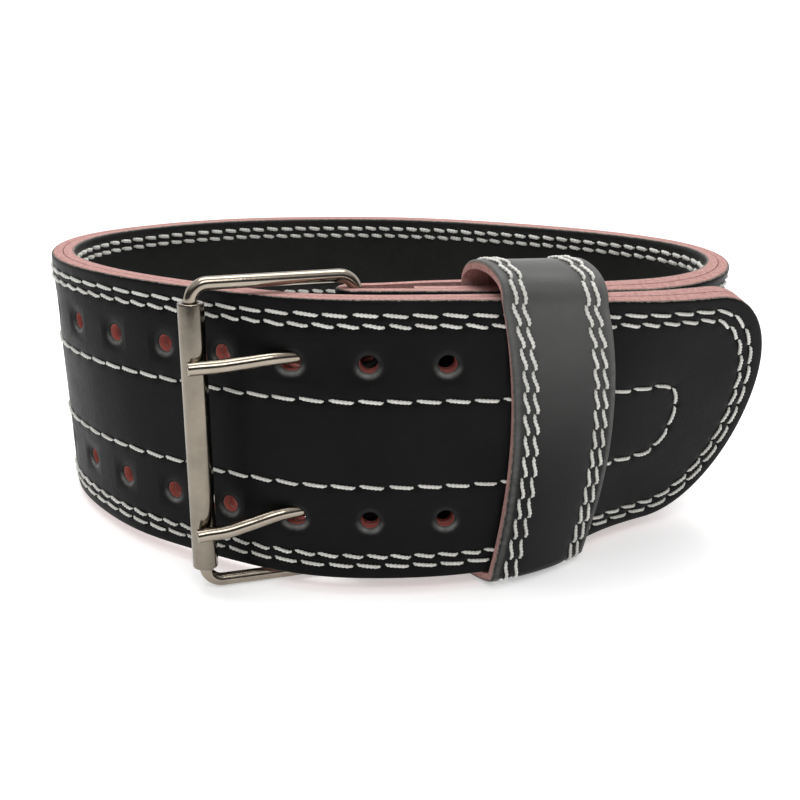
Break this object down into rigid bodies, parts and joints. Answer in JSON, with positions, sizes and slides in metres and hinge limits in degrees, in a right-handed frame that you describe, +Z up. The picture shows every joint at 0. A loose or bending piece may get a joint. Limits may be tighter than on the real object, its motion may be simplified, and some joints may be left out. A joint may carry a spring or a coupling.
{
  "type": "weightlifting belt",
  "caption": "Wide stitched leather lifting belt, fastened, with a prong roller buckle, a keeper loop and rows of fastening holes.",
  "frame": {"origin": "centre of the belt's footprint on the floor", "axes": "+X along the width towards the tongue's tip, +Y from the buckle at the front to the back, +Z up"},
  "size_m": [0.2764, 0.1934, 0.1158],
  "materials": {
    "black_leather": "satin black grain, pink suede on the cut edges",
    "keeper_leather": "satin",
    "nickel": "bright nickel plate"
  },
  "bodies": {
    "root": {"strap_outer_layer": "black_leather", "strap_inner_layer": "black_leather", "keeper": "keeper_leather", "buckle_frame": "nickel", "buckle_roller": "nickel", "prong_upper": "nickel", "prong_lower": "nickel", "rivet_1": "nickel", "rivet_2": "nickel", "rivet_3": "nickel", "rivet_4": "nickel", "rivet_5": "nickel", "rivet_6": "nickel", "rivet_7": "nickel", "rivet_8": "nickel"}
  },
  "joints": []
}
